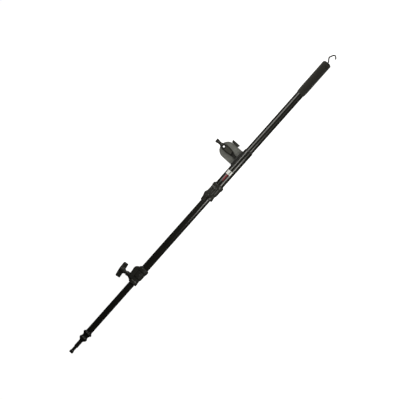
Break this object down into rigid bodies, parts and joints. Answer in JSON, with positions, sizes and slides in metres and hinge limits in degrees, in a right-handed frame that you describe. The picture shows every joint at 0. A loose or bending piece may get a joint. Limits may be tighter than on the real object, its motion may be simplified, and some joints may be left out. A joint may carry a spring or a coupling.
{
  "type": "boom pole",
  "caption": "Telescopic boom pole that slides and tilts in a clamp bracket with a stand spigot, with a foam grip, lock handles, a front spigot and a counterweight hook.",
  "frame": {"origin": "centre of the stand spigot's end face", "axes": "+X along the pole from the front spigot to the grip and hook, +Y out of the stand spigot's end face, +Z along the tilt pivot from the plate to the spigot arm"},
  "size_m": [1.5209, 0.1464, 0.1016],
  "materials": {
    "black_tube": "black anodised, satin",
    "black_casting": "black powder coat, fine grain",
    "grey_casting": "grey hammered paint",
    "black_steel": "turned steel, black",
    "black_plastic": "moulded, fine texture",
    "nylon": "plain moulded nylon",
    "foam": "closed-cell foam",
    "zinc_steel": "zinc plated",
    "hook_wire": "dark plated wire",
    "brass": "plain",
    "dark_label": "printed film with a red stripe",
    "white_label": "plain white film"
  },
  "bodies": {
    "stand_arm": {"stand_spigot_arm": "black_casting", "pivot_shaft": "zinc_steel", "friction_washer": "nylon", "pivot_washer": "zinc_steel", "pivot_nut": "zinc_steel"},
    "pivot_bracket": {"sleeve_tube": "black_tube", "sleeve_rear_bush": "nylon", "sleeve_collar": "black_casting", "sleeve_collar_bush": "nylon", "sleeve_grub_screw_front": "zinc_steel", "sleeve_grub_screw_back": "zinc_steel", "dark_label": "dark_label", "white_label": "white_label", "pivot_saddle": "black_casting", "pivot_plate": "grey_casting", "plate_screw_front": "zinc_steel", "plate_screw_rear": "zinc_steel"},
    "sleeve_pad": {"sleeve_clamp_pad": "brass"},
    "sleeve_knob": {"sleeve_clamp_screw": "zinc_steel", "sleeve_t_handle": "black_plastic"},
    "tilt_pad": {"tilt_brake_pad": "brass"},
    "tilt_knob": {"tilt_lock_screw": "zinc_steel", "tilt_lock_knob": "black_plastic"},
    "main_pole": {"main_tube": "black_tube", "extension_collar": "black_casting", "extension_collar_bush": "nylon", "extension_grub_screw_front": "zinc_steel", "extension_grub_screw_back": "zinc_steel", "foam_grip": "foam", "end_plug": "black_plastic", "hook_washer": "zinc_steel"},
    "extension_pad": {"extension_clamp_pad": "brass"},
    "extension_knob": {"extension_clamp_screw": "zinc_steel", "extension_t_handle": "black_plastic"},
    "inner_pole": {"front_spigot": "black_steel", "front_adapter": "black_casting", "front_ring": "black_casting", "spigot_cross_pin": "zinc_steel", "inner_tube": "black_tube", "stop_bush": "nylon"},
    "hook": {"counterweight_hook": "hook_wire", "hook_nut": "zinc_steel"}
  },
  "joints": [
    {"name": "tilt", "type": "hinge", "parent": "stand_arm", "child": "pivot_bracket", "pos_m": [0, -0.0596, -0.0164], "axis": [0, 0, 1], "range_deg": [-90, 60]},
    {"name": "pole_slide", "type": "slide", "parent": "pivot_bracket", "child": "main_pole", "axis": [1, 0, 0], "range_m": [-0.288, 0.357]},
    {"name": "extension_slide", "type": "slide", "parent": "main_pole", "child": "inner_pole", "axis": [-1, 0, 0], "range_m": [-0.245, 0.63]},
    {"name": "hook_swivel", "type": "hinge", "parent": "main_pole", "child": "hook", "pos_m": [0.503, -0.1234, -0.0164], "axis": [1, 0, 0], "continuous": true},
    {"name": "extension_clamp", "type": "slide", "parent": "main_pole", "child": "extension_pad", "axis": [-0.1271, 0.9919, 0], "range_m": [0, 0.00188]},
    {"name": "extension_knob_turn", "type": "hinge", "parent": "extension_pad", "child": "extension_knob", "pos_m": [-0.6017, -0.1234, -0.0164], "axis": [-0.1271, 0.9919, 0], "range_deg": [0, 540]},
    {"name": "sleeve_clamp", "type": "slide", "parent": "pivot_bracket", "child": "sleeve_pad", "axis": [-0.1271, 0.2062, 0.9702], "range_m": [0, 0.00188]},
    {"name": "sleeve_knob_turn", "type": "hinge", "parent": "sleeve_pad", "child": "sleeve_knob", "pos_m": [-0.1683, -0.1234, -0.0164], "axis": [-0.1271, 0.2062, 0.9702], "range_deg": [0, 540]},
    {"name": "tilt_clamp", "type": "slide", "parent": "pivot_bracket", "child": "tilt_pad", "axis": [1, 0, 0], "range_m": [0, 0.00188]},
    {"name": "tilt_knob_turn", "type": "hinge", "parent": "tilt_pad", "child": "tilt_knob", "pos_m": [0.033, -0.0653, -0.0164], "axis": [1, 0, 0], "range_deg": [0, 540]}
  ],
  "couplings": [
    {"joint": "extension_clamp", "follows": "extension_knob_turn", "m_per_rad": 0.00019894},
    {"joint": "sleeve_clamp", "follows": "sleeve_knob_turn", "m_per_rad": 0.00019894},
    {"joint": "tilt_clamp", "follows": "tilt_knob_turn", "m_per_rad": 0.00019894}
  ]
}
